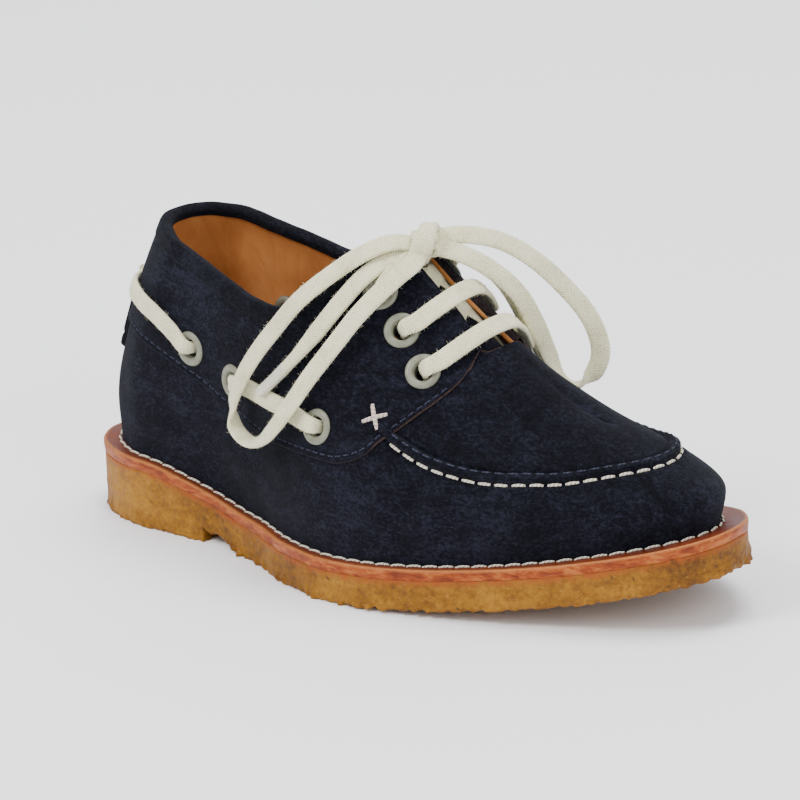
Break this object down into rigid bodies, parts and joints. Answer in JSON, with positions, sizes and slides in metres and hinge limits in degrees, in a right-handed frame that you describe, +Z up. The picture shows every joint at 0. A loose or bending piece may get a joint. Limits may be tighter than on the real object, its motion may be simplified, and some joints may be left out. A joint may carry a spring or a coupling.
{
  "type": "boat shoe",
  "caption": "Low laced shoe with a moccasin-seamed toe, hollow suede upper, stitched leather welt, crepe rubber sole and a flat lace tied in a bow.",
  "frame": {"origin": "middle of the sole's bounding box, on the floor that the heel and the forepart stand on", "axes": "+X from the heel to the toe, +Y to the wearer's inner (medial) side, +Z up"},
  "size_m": [0.205, 0.0748, 0.0909],
  "materials": {
    "suede": "brushed navy suede, very matt with a short nap",
    "lining_leather": "smooth vegetable-tanned lining leather, satin, lightly creased",
    "welt_leather": "waxed red-brown leather with a sanded edge",
    "crepe": "honey-coloured natural crepe rubber, matt and grainy",
    "eyelet_enamel": "semi-gloss light grey enamel",
    "lace_cotton": "flat woven cotton, off-white, slightly fuzzy"
  },
  "bodies": {
    "root": {"eyelet_facing_low_lateral": "eyelet_enamel", "eyelet_facing_low_medial": "eyelet_enamel", "eyelet_facing_mid_lateral": "eyelet_enamel", "eyelet_facing_mid_medial": "eyelet_enamel", "eyelet_facing_top_lateral": "eyelet_enamel", "eyelet_facing_top_medial": "eyelet_enamel", "eyelet_side_front_lateral": "eyelet_enamel", "eyelet_side_front_medial": "eyelet_enamel", "eyelet_side_middle_lateral": "eyelet_enamel", "eyelet_side_middle_medial": "eyelet_enamel", "eyelet_side_rear_lateral": "eyelet_enamel", "eyelet_side_rear_medial": "eyelet_enamel", "heel_lift": "crepe", "heel_tab": "suede", "insole": "lining_leather", "lace_bar_low": "lace_cotton", "lace_bar_mid": "lace_cotton", "lace_end_lateral": "lace_cotton", "lace_end_medial": "lace_cotton", "lace_heel": "lace_cotton", "lace_knot": "lace_cotton", "lace_loop_lateral": "lace_cotton", "lace_loop_medial": "lace_cotton", "lace_side_lateral": "lace_cotton", "lace_side_medial": "lace_cotton", "outsole": "crepe", "tongue": "suede", "upper": "suede", "welt": "welt_leather"}
  },
  "joints": []
}
